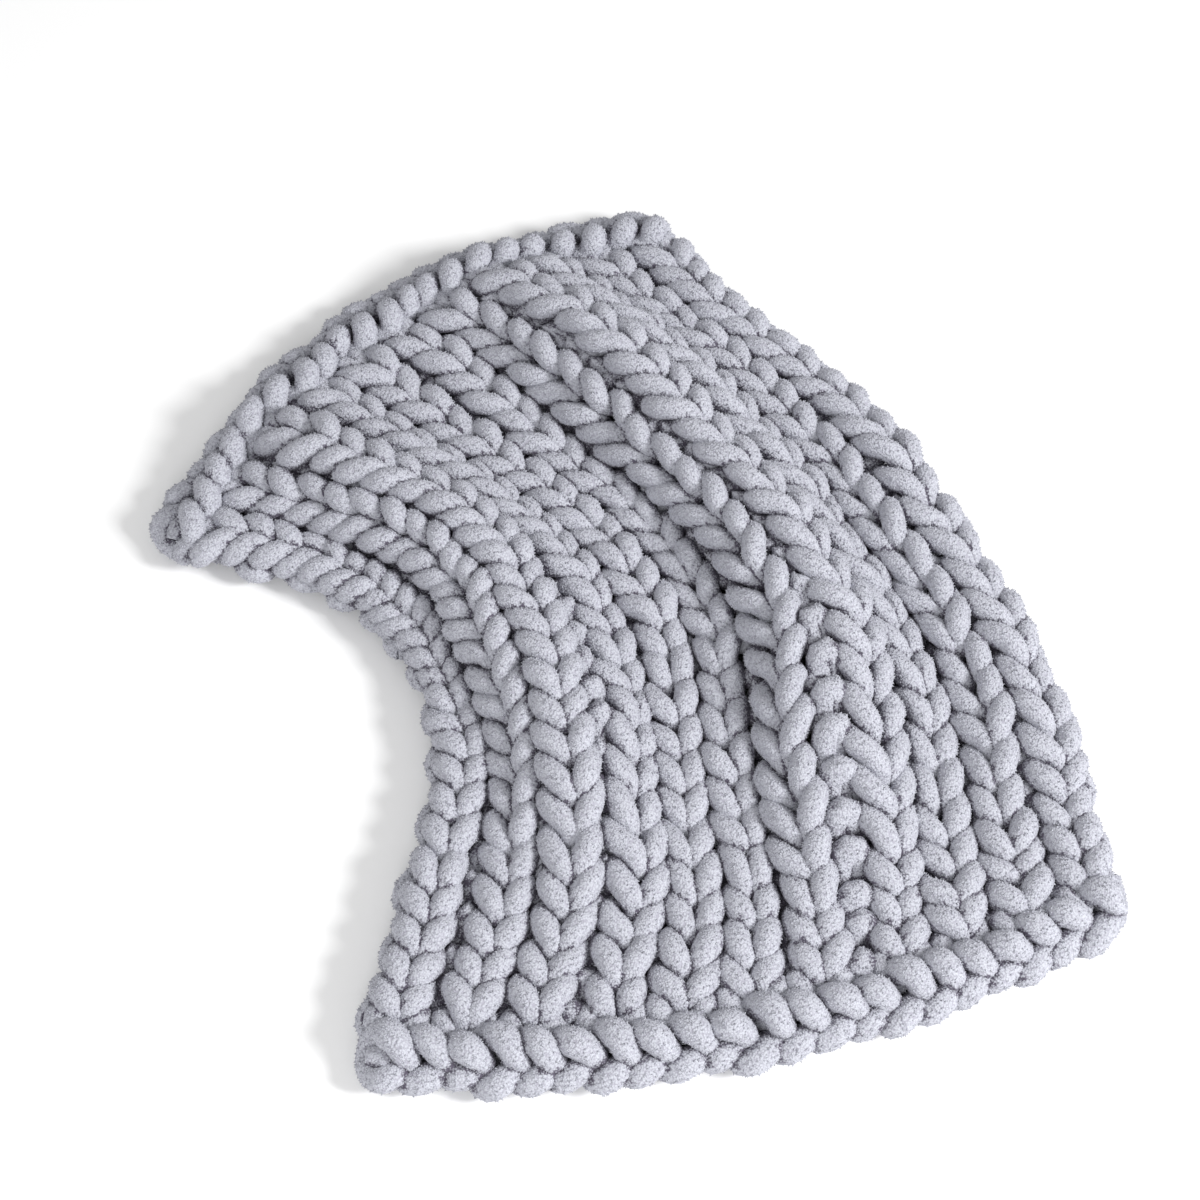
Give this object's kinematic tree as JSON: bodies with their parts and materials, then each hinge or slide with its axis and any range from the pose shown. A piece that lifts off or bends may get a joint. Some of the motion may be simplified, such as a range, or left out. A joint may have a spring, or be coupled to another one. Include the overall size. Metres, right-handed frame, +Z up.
{
  "type": "chunky knit blanket",
  "caption": "Throw blanket of thick chenille yarn in a rib knit, laid out in a loose fan with soft folds, bound hems and small gaps in its furrows.",
  "frame": {"origin": "middle of the blanket's outline, at floor level", "axes": "+Z up from the floor, -Y towards the wide front hem, +X to the right seen from that hem"},
  "size_m": [1.4728, 1.5492, 0.1687],
  "materials": {
    "plush_chenille_yarn": "matt, plush pile"
  },
  "bodies": {
    "root": {"knit_blanket": "plush_chenille_yarn"}
  },
  "joints": []
}
